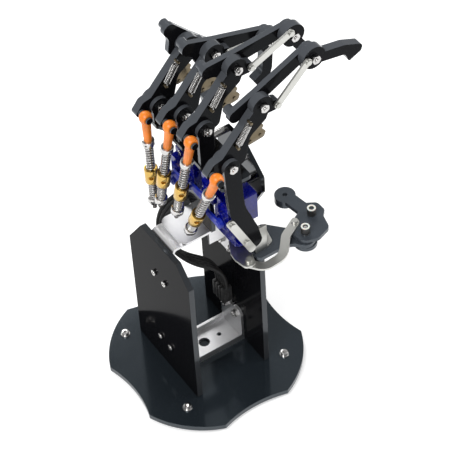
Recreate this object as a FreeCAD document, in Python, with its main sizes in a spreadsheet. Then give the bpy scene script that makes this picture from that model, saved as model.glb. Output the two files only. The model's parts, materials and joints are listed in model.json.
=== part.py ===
import FreeCAD, Part
import os
import re
from math import atan2, cos, degrees, hypot, radians, sin, tan

import Sketcher

os.makedirs("parts", exist_ok=True)
doc = FreeCAD.newDocument("RobotHand")
Vec = FreeCAD.Vector

# Driving dimensions, in millimetres and degrees.
# The row frame: +X from the left upright to the right one, which is also the way the palm faces,
# +Y along the knuckle row towards the little finger, +Z up, origin under the middle of the base.
SIZES = {
    # stand
    "foot_height": 4.0, "foot_radius": 6.0, "foot_taper": 1.0, "base_thickness": 4.0,
    "base_radius": 69.0, "base_waist": 60.0, "base_lobe_half_angle": 23.0,
    "base_centre_x": -1.5, "base_centre_y": -4.5,
    "base_screw_offset": 40.7, "base_screw_length": 4.0, "screw_hole_radius": 1.6,
    "upright_span": 60.0, "upright_thickness": 4.0, "upright_depth": 75.0, "upright_height": 126.0,
    "back_cut_depth": 17.6, "back_cut_height": 25.5, "front_cut_depth": 13.7, "front_cut_height": 14.2,
    "bracket_width": 25.4, "bracket_sheet": 2.0, "hole_pitch": 12.7, "bracket_clearance": 0.1,
    "cross_ear_height": 30.0, "cross_flange_height": 6.0, "cross_screw_height": 24.4,
    "wrist_rise": 1.0, "wrist_leg_length": 43.0, "wrist_screw_drop": 35.5, "wrist_bend_radius": 4.0,
    # mounting plate on the wrist bracket
    "bracket_sheet_thin": 1.5, "mount_plate_length": 38.0, "mount_plate_width": 29.0, "mount_lip_height": 10.0,
    # fingers: proximal, middle and distal plates and their pivots
    "finger_pitch": 25.0, "index_extra_gap": 3.0, "little_place": 32.0,
    "knuckle_x": 0.0, "little_setback": 3.0,
    "knuckle_z_1": 224.0, "knuckle_z_2": 233.8, "knuckle_z_3": 240.0, "knuckle_z_4": 230.0,
    "plate_thickness": 6.0, "proximal_angle": 52.5, "proximal_length": 44.0, "middle_length": 43.0,
    "middle_angle_1": -44.0, "middle_angle_2": -15.0, "middle_angle_3": 6.0, "middle_angle_4": 26.0,
    "distal_angle_1": -116.0, "distal_angle_2": -94.7, "distal_angle_3": -58.6, "distal_angle_4": -10.9,
    "pivot_radius": 1.5, "running_clearance": 0.05, "layer_gap": 0.3,
    "hub_radius": 7.4, "tip_hub_radius": 8.2, "knuckle_hub_radius": 8.0,
    "middle_thickness": 4.0, "middle_hub_radius": 6.2,
    "tail_length": 16.3, "tail_offset": 3.5, "tail_radius": 4.6, "bell_lobe_u": -1.9, "bell_lobe_v": -11.9,
    "tail_spacer_radius": 3.4, "tail_spacer_length": 5.0,
    "nut_radius": 2.8, "nut_height": 2.4,
    "ball_arm_u": -8.4, "ball_arm_v": 9.6,
    "link_lobe_u": 3.7, "link_lobe_v": -9.4, "link_tail": 6.0,
    "link_thickness": 1.5, "link_half_width": 2.5, "link_gap": 0.6, "rivet_radius": 1.2,
    "return_spring_radius": 2.2, "return_spring_length": 15.0, "spring_post_radius": 1.0, "spring_post_height": 4.2,
    # push rods
    "ball_radius": 4.5, "ball_flat": 3.2, "ball_screw_radius": 1.2, "ball_side": 8.5,
    "neck_radius": 2.75, "ball_link_length": 20.5,
    "rod_radius": 1.5, "rod_length": 86.0, "collar_radius": 4.3, "collar_length": 4.5,
    "low_collar_place": 75.0, "spring_radius": 3.2, "spring_bore": 1.7,
    "block_radius": 4.65, "block_length": 12.0, "block_drop": 53.0, "block_x": -15.0,
    "lean_1": 1.3, "lean_2": 10.2, "lean_3": 13.4, "lean_4": 24.2,
    "pin_socket_radius": 3.0, "pin_socket_depth": 3.0,
    # servos
    "horn_length": 12.7, "horn_thickness": 1.6, "horn_gap": 2.6, "horn_pin_radius": 1.0,
    "servo_length": 22.8, "servo_width": 12.2, "servo_height": 22.5, "servo_tab": 4.7,
    "servo_tab_thickness": 2.5, "servo_tab_drop": 4.0, "servo_shaft_place": 5.2,
    "servo_boss_radius": 5.6, "servo_boss_height": 1.5,
    "servo_gear_radius": 2.6, "servo_gear_place": 6.2, "hub_height": 1.2, "hub_outer_radius": 3.5,
    # palm
    "panel_thickness": 3.0, "deck_z": 209.0, "cover_top_z": 199.0,
    "deck_thickness": 3.0, "deck_front": 16.0, "deck_back": 6.3,
    "cheek_thickness": 3.0, "cheek_gap": 0.4, "cheek_radius": 6.5, "cheek_half_width": 5.6,
    "cover_x": 34.0, "cover_thickness": 3.0, "cover_near_y": -31.2, "cover_far_y": 19.5,
    "cover_foot_z": 133.0, "cover_low_shoulder_z": 168.7, "cover_high_shoulder_z": 182.0,
    "cover_foot_margin": 19.6, "cover_top_margin": 20.6,
    "arm_foot_x": 13.6, "arm_half_width": 5.8, "spacer_radius": 2.5, "panel_foot_z": 137.0, "panel_left": 20.0,
    # thumb
    "thumb_z": 135.0, "thumb_plate": 3.0, "thumb_gap": 0.3,
    "crank_x": 9.8, "crank_y": -39.1, "crank_pin_x": 5.5, "crank_pin_y": -57.2,
    "thumb_pivot_x": 51.0, "thumb_pivot_y": -55.9, "thumb_link_x": 49.9, "thumb_link_y": -45.1,
    "thumb_tip_x": 59.9, "thumb_tip_y": -19.5, "thumb_tip_radius": 7.2,
    "thumb_post_x": 63.9, "thumb_post_y": -44.6, "thumb_post_radius": 3.0, "thumb_post_height": 6.0,
    "thumb_disc_radius": 7.8, "leg_width": 9.0, "leg_height": 22.0,
    "brace_pitch": 24.1, "brace_half_width": 2.8, "brace_angle": -65.5,
    "thumb_link_width": 6.2, "crank_thickness": 1.6,
    # servo lead harness
    "harness_radius": 1.7,
}

sheet = doc.addObject("Spreadsheet::Sheet", "Sizes")
for row, (alias, value) in enumerate(SIZES.items(), start=1):
    sheet.set(f"A{row}", alias)
    sheet.set(f"B{row}", str(value))
    sheet.setAlias(f"B{row}", alias)
doc.recompute()


def size(name):
    """The value of one named cell of the sheet."""
    return float(sheet.get(name))


def value_of(formula):
    """The value of a formula over the sheet's names."""
    names = sorted(set(re.findall(r"[a-z_]+[a-z_0-9]*", formula)), key=len, reverse=True)
    terms = {name: size(name) for name in names}
    return FreeCAD.Units.parseQuantity(bound(formula, lambda name: f"({terms[name]})")).Value


def bound(formula, write=lambda name: f"Sizes.{name}"):
    """The formula with each of the sheet's names written out for an expression."""
    return re.sub(r"[a-z_]+[a-z_0-9]*", lambda found: write(found.group(0)), formula)


# Small helpers for plates: an outline is a polygon whose corners have radii.
class Plate:
    """One flat piece: a body made of pads and pockets on one of its origin planes."""

    def __init__(self, label, plane="XZ_Plane"):
        self.body = doc.addObject("PartDesign::Body", label)
        self.body.Label = label
        self.plane = next(item for item in self.body.Origin.OriginFeatures if item.Role == plane)
        self.count = 0

    def sketch(self, level):
        """A sketch on the plane, lifted to a level along the plane's normal."""
        self.count += 1
        sketch = self.body.newObject("Sketcher::SketchObject", f"{self.body.Label}_sketch{self.count}")
        sketch.AttachmentSupport = [(self.plane, "")]
        sketch.MapMode = "FlatFace"
        sketch.AttachmentOffset = FreeCAD.Placement(Vec(0, 0, value_of(level)), FreeCAD.Rotation())
        sketch.setExpression("AttachmentOffset.Base.z", bound(level))
        return sketch

    def pad(self, sketch, length):
        pad = self.body.newObject("PartDesign::Pad", f"{self.body.Label}_pad{self.count}")
        pad.Profile = sketch
        pad.setExpression("Length", bound(length))
        doc.recompute()
        return pad

    def outline(self, corners, level, length, holes=()):
        """Adds a plate with rounded corners (x, y, radius) and round holes (x, y, radius formula)."""
        sketch = self.sketch(level)
        for piece in rounded(corners):
            sketch.addGeometry(piece, False)
        for x, y, radius in holes:
            add_circle(sketch, x, y, radius)
        return self.pad(sketch, length)

    def disc(self, x, y, radius, level, length):
        """Adds a round disc or pin; its place and radius are formulas."""
        sketch = self.sketch(level)
        add_circle(sketch, x, y, radius)
        return self.pad(sketch, length)

    def hole(self, x, y, radius):
        """Cuts a round hole right through."""
        sketch = self.sketch("0")
        add_circle(sketch, x, y, radius)
        pocket = self.body.newObject("PartDesign::Pocket", f"{self.body.Label}_pocket{self.count}")
        pocket.Profile = sketch
        pocket.Type = 1
        pocket.Midplane = True
        doc.recompute()
        return pocket

    def place(self, base, rotation=None):
        self.body.Placement = FreeCAD.Placement(base, rotation or FreeCAD.Rotation())
        return self.body


def add_circle(sketch, x, y, radius):
    """A circle whose centre and radius are bound to the sheet; x, y and radius are formulas or numbers."""
    x, y, radius = str(x), str(y), str(radius)
    centre = Vec(value_of(x), value_of(y), 0)
    index = sketch.addGeometry(Part.Circle(centre, Vec(0, 0, 1), value_of(radius)), False)
    for kind, text, first in (("Radius", radius, None), ("DistanceX", x, 3), ("DistanceY", y, 3)):
        if first is None:
            number = sketch.addConstraint(Sketcher.Constraint(kind, index, value_of(text)))
        elif abs(value_of(text)) > 1e-6:
            number = sketch.addConstraint(Sketcher.Constraint(kind, -1, 1, index, first, value_of(text)))
        else:
            axis = -2 if kind == "DistanceX" else -1
            sketch.addConstraint(Sketcher.Constraint("PointOnObject", index, first, axis))
            continue
        if re.search("[a-z]", text):
            sketch.renameConstraint(number, f"{kind}{index}")
            sketch.setExpression(f"Constraints.{kind}{index}", bound(text))


def rounded(corners):
    """Lines and tangent arcs along a closed polygon whose corners (x, y, radius) are rounded."""
    pieces = []
    count = len(corners)
    ends = []
    for place in range(count):
        before, here, after = corners[place - 1], corners[place], corners[(place + 1) % count]
        point = Vec(here[0], here[1], 0)
        back = (Vec(before[0], before[1], 0) - point).normalize()
        ahead = (Vec(after[0], after[1], 0) - point).normalize()
        half = back.getAngle(ahead) / 2
        reach = here[2] / tan(half)
        start, finish = point + back * reach, point + ahead * reach
        middle = (back + ahead).normalize()
        centre = point + middle * (here[2] / sin(half))
        ends.append((start, centre - middle * here[2], finish))
    for place in range(count):
        start, top, finish = ends[place]
        pieces.append(Part.Arc(start, top, finish))
        following = ends[(place + 1) % count][0]
        if (following - finish).Length > 1e-4:
            pieces.append(Part.LineSegment(finish, following))
    return pieces


def ribbon(path, half_width, radii):
    """The rounded outline of a flat strip of even width along a path of points."""
    left, right = [], []
    for place, point in enumerate(path):
        if place == 0:
            way = (path[1] - point).normalize()
            point = point - way * half_width
            reach, turn = half_width, Vec(-way.y, way.x, 0)
        elif place == len(path) - 1:
            way = (point - path[-2]).normalize()
            point = point + way * half_width
            reach, turn = half_width, Vec(-way.y, way.x, 0)
        else:
            first = (point - path[place - 1]).normalize()
            second = (path[place + 1] - point).normalize()
            turn = (Vec(-first.y, first.x, 0) + Vec(-second.y, second.x, 0)).normalize()
            reach = half_width / cos(first.getAngle(second) / 2)
        bend = radii[place]
        end = place in (0, len(path) - 1)
        inner = half_width * 0.98 if end else bend
        bending_left = not end and (path[place + 1] - point).cross(point - path[place - 1]).z < 0
        near = inner if end else (bend - half_width if bending_left else bend + half_width)
        far = inner if end else (bend + half_width if bending_left else bend - half_width)
        left.append((point.x + turn.x * reach, point.y + turn.y * reach, near))
        right.append((point.x - turn.x * reach, point.y - turn.y * reach, far))
    return left + right[::-1]


def turned(angle, along, across):
    """A vector (x, z) of the upright plane from a pair of lengths in a frame turned by an angle."""
    turn = radians(angle)
    return (cos(turn) * along - sin(turn) * across, sin(turn) * along + cos(turn) * across)


def about_y(angle):
    """The rotation that lifts +X towards +Z by an angle."""
    return FreeCAD.Rotation(Vec(0, 1, 0), -angle)


def solid_node(label, shape, placement=None):
    """A node whose shape is made with Part's own functions."""
    feature = doc.addObject("Part::Feature", label)
    feature.Label = label
    feature.Shape = shape
    if placement is not None:
        feature.Placement = placement
    return feature


nodes = []

# Heights of the stand
foot = size("foot_height")
base_top = foot + size("base_thickness")
upright_top = base_top + size("upright_height")
half_span = size("upright_span") / 2
inner_x = half_span - size("upright_thickness")


def base_outline():
    """Four lobes on one circle, with a shallow inward arc between each two: the wavy edge of the base plate."""
    radius, waist = size("base_radius"), size("base_waist")
    half = size("base_lobe_half_angle")
    middle = Vec(size("base_centre_x"), size("base_centre_y"), 0)
    pieces = []
    for quarter in range(4):
        def rim(angle, reach):
            return middle + FreeCAD.Rotation(Vec(0, 0, 1), 90 * quarter + angle).multVec(Vec(reach, 0, 0))
        pieces.append(Part.Arc(rim(45 - half, radius), rim(45, radius), rim(45 + half, radius)))
        pieces.append(Part.Arc(rim(45 + half, radius), rim(90, waist), rim(135 - half, radius)))
    return pieces


corner_signs = ((1, 1), (-1, 1), (-1, -1), (1, -1))
screw_hole = "screw_hole_radius"

base = Plate("base_plate", "XY_Plane")
base_sketch = base.sketch("0")
for piece in base_outline():
    base_sketch.addGeometry(piece, False)
for sign_x, sign_y in corner_signs:
    add_circle(base_sketch, f"{sign_x} * base_screw_offset", f"{sign_y} * base_screw_offset", screw_hole)
base.pad(base_sketch, "base_thickness")
nodes.append(base.place(Vec(0, 0, foot)))


def cap_screw(head_at, way, shank, head_radius=3.2, head_height=3.2):
    """A socket cap screw; way points from the head's seat out of the head."""
    head = Part.makeCylinder(head_radius, head_height, head_at, way)
    socket = Part.makeCylinder(head_radius * 0.45, head_height * 0.6, head_at + way * head_height, way * -1)
    body = Part.makeCylinder(size("pivot_radius"), shank, head_at, way * -1)
    return head.cut(socket).fuse(body).removeSplitter()


screw_offset = size("base_screw_offset")
corners = [Vec(sx * screw_offset, sy * screw_offset, 0) for sx, sy in corner_signs]
feet = []
for corner in corners:
    foot_pad = Part.makeCone(size("foot_radius") - size("foot_taper"), size("foot_radius"), foot, corner)
    bore = Part.makeCylinder(size("screw_hole_radius"), foot, corner)
    feet.append(foot_pad.cut(bore))
nodes.append(solid_node("base_feet", Part.makeCompound(feet)))

# Uprights: two plates with cut corners, screwed to the ears and legs of the two brackets
bracket_holes = []
wrist_screw_height = size("upright_height") + size("wrist_rise") - size("wrist_screw_drop")
for height in (size("cross_screw_height"), wrist_screw_height):
    for side in (-1, 1):
        bracket_holes.append((f"{side} * hole_pitch / 2", height))
depth, height = size("upright_depth"), size("upright_height")
upright_corners = [
    (-depth / 2, 0, 0.5), (depth / 2, 0, 0.5),
    (depth / 2, height - size("back_cut_height"), 1), (depth / 2 - size("back_cut_depth"), height, 1),
    (-depth / 2 + size("front_cut_depth"), height, 1), (-depth / 2, height - size("front_cut_height"), 1),
]
for label, start in (("upright_left", -half_span), ("upright_right", inner_x)):
    upright = Plate(label, "YZ_Plane")
    upright_holes = [(x, z, screw_hole) for x, z in bracket_holes]
    upright.outline(upright_corners, "0", "upright_thickness", upright_holes)
    nodes.append(upright.place(Vec(start, 0, base_top)))

# Cross bracket: a channel that joins the two uprights at their feet and is screwed to the base
clear = size("bracket_clearance")
width, sheet_metal = size("bracket_width"), size("bracket_sheet")
channel_length = 2 * (inner_x - clear)


def cross_bracket():
    ear_height = size("cross_ear_height")
    flange = size("cross_flange_height")
    body = Part.makeBox(channel_length, width, sheet_metal, Vec(-channel_length / 2, -width / 2, 0))
    for side in (-1, 1):
        wall = Part.makeBox(channel_length, sheet_metal, flange,
                            Vec(-channel_length / 2, side * (width - sheet_metal) / 2 - sheet_metal / 2, 0))
        body = body.fuse(wall)
    # each ear ends in two round prongs with a notch between them
    half = width / 2
    prong = half * 0.42
    ear_points = [(-half, 0, 0.3), (half, 0, 0.3), (half, ear_height, prong),
                  (half - 2 * prong, ear_height, prong), (0, ear_height - 2.2 * prong, 2),
                  (-half + 2 * prong, ear_height, prong), (-half, ear_height, prong)]
    for start in (-channel_length / 2, channel_length / 2 - sheet_metal):
        wire = Part.Wire([Part.Edge(piece) for piece in rounded([(x, z, r * 0.98) for x, z, r in ear_points])])
        face = Part.Face(wire)
        ear = face.extrude(Vec(0, 0, sheet_metal))
        ear.Placement = FreeCAD.Placement(Vec(start, 0, 0), FreeCAD.Rotation(Vec(1, 1, 1), 120))
        body = body.fuse(ear)
        for side in (-1, 1):
            hole_at = Vec(start - 1, side * size("hole_pitch") / 2, size("cross_screw_height"))
            hole = Part.makeCylinder(size("screw_hole_radius"), sheet_metal + 2, hole_at, Vec(1, 0, 0))
            body = body.cut(hole)
    for x, y, radius in ((0, 0, 4.0), (12.7, 0, 1.6), (-12.7, 0, 1.6)):
        body = body.cut(Part.makeCylinder(radius, sheet_metal, Vec(x, y, 0)))
    return body.removeSplitter()


on_base = FreeCAD.Placement(Vec(0, 0, base_top), FreeCAD.Rotation())
nodes.append(solid_node("cross_bracket", cross_bracket(), on_base))

# Wrist bracket: a strip bent into an upside-down channel between the tops of the uprights
wrist_top = upright_top + size("wrist_rise")
leg_foot = wrist_top - size("wrist_leg_length")


def wrist_bracket():
    bend = size("wrist_bend_radius")
    edge = inner_x - clear
    inside, under, inner_bend = edge - sheet_metal, wrist_top - sheet_metal, bend - sheet_metal
    outer = [(-edge, leg_foot, 0.3), (-edge, wrist_top, bend), (edge, wrist_top, bend), (edge, leg_foot, 0.3),
             (inside, leg_foot, 0.3), (inside, under, inner_bend), (-inside, under, inner_bend), (-inside, leg_foot, 0.3)]
    strip = Plate("wrist_bracket")
    strip.outline(outer, "-1 * bracket_width / 2", "bracket_width")
    return strip


wrist = wrist_bracket()
wrist_sketch_plane = next(item for item in wrist.body.Origin.OriginFeatures if item.Role == "YZ_Plane")
wrist_holes = wrist.body.newObject("Sketcher::SketchObject", "wrist_bracket_holes")
wrist_holes.AttachmentSupport = [(wrist_sketch_plane, "")]
wrist_holes.MapMode = "FlatFace"
for side in (-1, 1):
    add_circle(wrist_holes, f"{side} * hole_pitch / 2", wrist_top - size("wrist_screw_drop"), screw_hole)
wrist_cut = wrist.body.newObject("PartDesign::Pocket", "wrist_bracket_cut")
wrist_cut.Profile = wrist_holes
wrist_cut.Type = 1
wrist_cut.Midplane = True
doc.recompute()
nodes.append(wrist.place(Vec(0, 0, 0)))

# Screws of the stand: four through the base and its feet, eight through the uprights
stand_screws = []
for corner in corners:
    stand_screws.append(cap_screw(corner + Vec(0, 0, base_top), Vec(0, 0, 1), size("base_screw_length")))
for x, z in bracket_holes:
    for side in (-1, 1):
        seat = Vec(side * half_span, value_of(x), base_top + z)
        way = Vec(side, 0, 0)
        shank = size("upright_thickness") + sheet_metal + clear + 2.5
        stand_screws.append(cap_screw(seat, way, shank, 2.8, 2.0))
        nut_at = Vec(side * (inner_x - clear - sheet_metal), value_of(x), base_top + z)
        ring = Part.makeCylinder(size("nut_radius"), size("nut_height"), nut_at, way * -1)
        thread = Part.makeCylinder(size("pivot_radius"), size("nut_height"), nut_at, way * -1)
        stand_screws.append(ring.cut(thread))
nodes.append(solid_node("stand_screws", Part.makeCompound(stand_screws)))

# Mounting plate: a rounded plate on the wrist bracket with a lip that hangs over its front edge
mount_half_length = size("mount_plate_length") / 2
mount_half_width = size("mount_plate_width") / 2
mount = Plate("mount_plate", "XY_Plane")
mount_corners = [(-mount_half_length, -mount_half_width, 6), (mount_half_length, -mount_half_width, 0.5),
                 (mount_half_length, mount_half_width, 6), (-mount_half_length, mount_half_width, 6)]
mount.outline(mount_corners, "0", "bracket_sheet")
lip_back = -mount_half_width + sheet_metal - 0.3
lip_corners = [(2, -mount_half_width, 0.5), (mount_half_length, -mount_half_width, 0.5),
               (mount_half_length, lip_back, 0.3), (2, lip_back, 0.3)]
mount.outline(lip_corners, "-1 * mount_lip_height", "mount_lip_height")
nodes.append(mount.place(Vec(0, 0, wrist_top)))


# Fingers, numbered 1 for the little finger to 4 for the index finger
def finger_y(number):
    place = size("little_place") - (number - 1) * size("finger_pitch")
    return place - (size("index_extra_gap") if number == 4 else 0)


def knuckle(number):
    x = size("knuckle_x") - (size("little_setback") if number == 1 else 0)
    return Vec(x, finger_y(number), size(f"knuckle_z_{number}"))


def in_plane(origin, angle, along, across):
    x, z = turned(angle, along, across)
    return origin + Vec(x, 0, z)


def finger_points(number):
    """The pivots of one finger at rest."""
    root = knuckle(number)
    lean_p = size("proximal_angle")
    lean_m = size(f"middle_angle_{number}")
    lean_d = size(f"distal_angle_{number}")
    first = in_plane(root, lean_p, size("proximal_length"), 0)
    second = in_plane(first, lean_m, size("middle_length"), 0)
    return {
        "knuckle": root, "pip": first, "dip": second,
        "ball": in_plane(root, lean_p, size("ball_arm_u"), size("ball_arm_v")) - Vec(0, size("ball_side"), 0),
        "lobe": in_plane(root, lean_p, size("proximal_length") + size("link_lobe_u"), size("link_lobe_v")),
        "tail": in_plane(second, lean_d, -size("link_tail"), 0),
    }


half_plate = "plate_thickness / 2"
pin_hole = "pivot_radius + running_clearance"
length_p = size("proximal_length")
lobe_u, lobe_v = length_p + size("link_lobe_u"), size("link_lobe_v")
ball_u, ball_v = size("ball_arm_u"), size("ball_arm_v")


def proximal_plate(number):
    """The first finger plate: a lever for the push rod, a long web and a lobe for the steel link."""
    plate = Plate(f"proximal_{number}")
    web = [(ball_u - 3.7, ball_v + 3.0, 2.6), (-1.4, 12.4, 3), (3.2, 8.2, 3), (length_p - 6, 5, 4), (length_p + 2, 3, 2),
           (length_p + 2, -6, 1), (length_p - 8, -8.4, 4), (22, -3.8, 8), (14, -7.4, 5), (5, -11.4, 4), (-4.5, -6.4, 3),
           (-6.5, 3, 5), (ball_u - 3.7, ball_v - 3.0, 2.6)]
    lobe = [(length_p - 7, -3, 2), (lobe_u + 1.0, lobe_v + 6, 2), (lobe_u + 3.6, lobe_v - 3.4, 3.2),
            (lobe_u - 3.6, lobe_v - 3.4, 3.2)]
    plate.outline(web, f"-1 * {half_plate}", "plate_thickness")
    plate.outline(lobe, f"-1 * {half_plate}", "plate_thickness")
    plate.disc("proximal_length", 0, "hub_radius", f"-1 * {half_plate}", "plate_thickness")
    plate.disc(0, 0, "knuckle_hub_radius", f"-1 * {half_plate}", "plate_thickness")
    screw_end = "ball_side + ball_flat + layer_gap"
    plate.disc("ball_arm_u", "ball_arm_v", "ball_screw_radius", half_plate, f"{screw_end} - {half_plate}")
    plate.disc("ball_arm_u", "ball_arm_v", "ball_screw_radius + 1.2", half_plate,
               f"ball_side - ball_flat - layer_gap - {half_plate}")
    plate.disc("ball_arm_u", "ball_arm_v", "ball_screw_radius + 1.2", screw_end, "1.4")
    plate.hole(0, 0, pin_hole)
    plate.hole("proximal_length", 0, pin_hole)
    plate.hole("proximal_length + link_lobe_u", "link_lobe_v", "rivet_radius + running_clearance")
    return plate.place(knuckle(number), about_y(size("proximal_angle")))


def middle_plate(number):
    """The second finger plate: a slim bar with a three-cornered tail, and its two pivot pins."""
    plate = Plate(f"middle_{number}")
    tail, rise, reach = size("tail_length"), size("tail_offset"), size("tail_radius")
    lobe_u, lobe_v = size("bell_lobe_u"), size("bell_lobe_v")
    length = size("middle_length")
    bar = [(-2, rise + 3.2, 1), (length, size("middle_hub_radius") - 0.6, 4), (length, -3.0, 2), (-2, -3.4, 1)]
    bell = [(-tail - reach, rise + reach, 4.5), (5, rise + 3.0, 5), (6.4, -4, 4), (lobe_u + 4.2, lobe_v, 4),
            (lobe_u - 4.2, lobe_v, 3.5), (-tail + 3.8, rise - reach - 1.4, 8),
            (-tail - reach, rise - reach, 4.5)]
    far = f"-1 * {half_plate} - layer_gap - middle_thickness"
    plate.outline(bar, far, "middle_thickness")
    plate.outline(bell, far, "middle_thickness")
    for place in ("0", "middle_length"):
        plate.disc(place, 0, "middle_hub_radius", far, "middle_thickness")
        # the pivot pin runs through the hub of the next plate and ends in a nut
        plate.disc(place, 0, "pivot_radius", far, "middle_thickness + plate_thickness + 2 * layer_gap")
        plate.disc(place, 0, "nut_radius", f"{half_plate} + layer_gap", "nut_height")
    spacer_level = f"{far} - tail_spacer_length"
    plate.disc("-1 * tail_length", "tail_offset", "tail_spacer_radius", spacer_level, "tail_spacer_length")
    return plate.place(finger_points(number)["pip"], about_y(size(f"middle_angle_{number}")))


def distal_plate(number):
    """The fingertip plate: a straight arm that ends in a bent-down tip."""
    plate = Plate(f"distal_{number}")
    arm = [(-4, 2.6, 1), (22.8, 2.6, 6), (37.6, -0.8, 3), (37, -5.8, 2), (28.6, -11.6, 1.2), (24.4, -5, 4),
           (-4, -5, 1)]
    plate.outline(arm, f"-1 * {half_plate}", "plate_thickness")
    plate.disc(0, 0, "tip_hub_radius", f"-1 * {half_plate}", "plate_thickness")
    plate.disc("-1 * link_tail", 0, "rivet_radius", half_plate, "layer_gap")
    plate.hole(0, 0, pin_hole)
    return plate.place(finger_points(number)["dip"], about_y(size(f"distal_angle_{number}")))


def tip_link(number):
    """The steel link from the first plate's lobe to the fingertip plate's tail."""
    points = finger_points(number)
    start, end = points["lobe"], points["tail"]
    reach, lean = hypot(end.x - start.x, end.z - start.z), degrees(atan2(end.z - start.z, end.x - start.x))
    link = Plate(f"tip_link_{number}")
    half = size("link_half_width")
    level = f"{half_plate} + link_gap"
    strip = [(-half, half, half * 0.98), (reach + half, half, half * 0.98), (reach + half, -half, half * 0.98),
             (-half, -half, half * 0.98)]
    link.outline(strip, level, "link_thickness")
    link.disc(0, 0, "rivet_radius", f"-1 * {half_plate}", "plate_thickness + link_gap")
    for place in (0, reach):
        link.disc(place, 0, "rivet_radius * 1.6", f"{level} + link_thickness", "rivet_radius")
    return link.place(start, about_y(lean))


def side_plate(number):
    """The notched steel plate on the first finger plate's far face, and the return spring on its near face."""
    plate = Plate(f"side_plate_{number}")
    shape = [(12.6, -1, 1.5), (12.6, -14.2, 2.4), (20.6, -22.6, 2.2), (24.6, -21.4, 1.2), (25.6, -17, 1),
             (28.6, -16.8, 1.4), (29, -11.5, 1.5), (27, -7, 1.5), (27, -1, 1.5)]
    plate.outline(shape, f"-1 * {half_plate} - link_thickness", "link_thickness")
    for u, v in ((26.6, -12.4), (15.6, -13.8), (21.2, -18.6)):
        plate.disc(u, v, "rivet_radius", f"-1 * {half_plate}", "rivet_radius * 0.6")
    body = plate.place(Vec(0, 0, 0))
    body.Label = f"side_plate_{number}_steel"
    near = size("plate_thickness") / 2
    coil_radius, post_radius = size("return_spring_radius"), size("spring_post_radius")
    coil_level = near + coil_radius + 0.05
    coil = Part.makeCylinder(coil_radius, size("return_spring_length"), Vec(16.5, -coil_level, 4.6), Vec(1, 0, 0.08))
    group = [body.Shape, coil]
    for u, v in ((14.6, 4.4), (33.0, 5.9)):
        group.append(Part.makeCylinder(post_radius, size("spring_post_height"), Vec(u, -near, v), Vec(0, -1, 0)))
    placement = FreeCAD.Placement(knuckle(number), about_y(size("proximal_angle")))
    return solid_node(f"side_plate_{number}", Part.makeCompound(group), placement)


for number in (1, 2, 3, 4):
    nodes.append(proximal_plate(number))
    nodes.append(side_plate(number))
    nodes.append(middle_plate(number))
    nodes.append(distal_plate(number))
    nodes.append(tip_link(number))


# Push rods: ball link, threaded rod with collars and springs, and the sliding brass block
def rod_frame(number):
    """The ball, the block's centre and the rotation that turns +Z to the rod's way down."""
    ball = finger_points(number)["ball"]
    block = Vec(size("block_x"), ball.y + size(f"lean_{number}"), ball.z - size("block_drop"))
    return ball, block, FreeCAD.Rotation(Vec(0, 0, 1), block - ball)


def sleeve(radius, bore, start, length):
    foot_at = Vec(0, 0, start)
    return Part.makeCylinder(radius, length, foot_at).cut(Part.makeCylinder(bore, length, foot_at))


def ball_link(number):
    ball, block, turn = rod_frame(number)
    head = Part.makeSphere(size("ball_radius"))
    # the eye is flat where the screw's washers lie against it
    across = turn.inverted().multVec(Vec(0, 1, 0))
    flat, radius = size("ball_flat"), size("ball_radius")
    eye_bore = size("ball_screw_radius") + size("running_clearance")
    eye = Part.makeCylinder(eye_bore, 2 * radius, across * -radius, across)
    length = size("ball_link_length")
    neck = Part.makeCone(size("neck_radius") + 0.5, size("neck_radius"), length - 1, Vec(0, 0, 1))
    bore = Part.makeCylinder(size("rod_radius"), length, Vec(0, 0, size("ball_radius") + 4))
    link = head.fuse(neck).cut(bore).cut(eye)
    for way in (across, across * -1):
        link = link.cut(Part.makeCylinder(radius, radius, way * flat, way))
    return solid_node(f"ball_link_{number}", link, FreeCAD.Placement(ball, turn))


def push_rod(number):
    ball, block, turn = rod_frame(number)
    top = size("ball_link_length")
    rod_start = size("ball_radius") + 4
    rod_end = size("rod_length")
    collar, radius = size("collar_length"), size("collar_radius")
    bore = size("rod_radius")
    centre = (block - ball).Length
    high_start = top + collar
    high_end = centre - size("block_length") / 2
    low_start = centre + size("block_length") / 2
    low_collar = size("low_collar_place")
    pieces = [
        Part.makeCylinder(bore, rod_end - rod_start, Vec(0, 0, rod_start)),
        sleeve(radius, bore, top, collar),
        sleeve(size("spring_radius"), size("spring_bore"), high_start, high_end - high_start),
        sleeve(size("spring_radius"), size("spring_bore"), low_start, low_collar - low_start),
        sleeve(radius, bore, low_collar, collar),
    ]
    return solid_node(f"push_rod_{number}", Part.makeCompound(pieces), FreeCAD.Placement(ball, turn))


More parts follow.
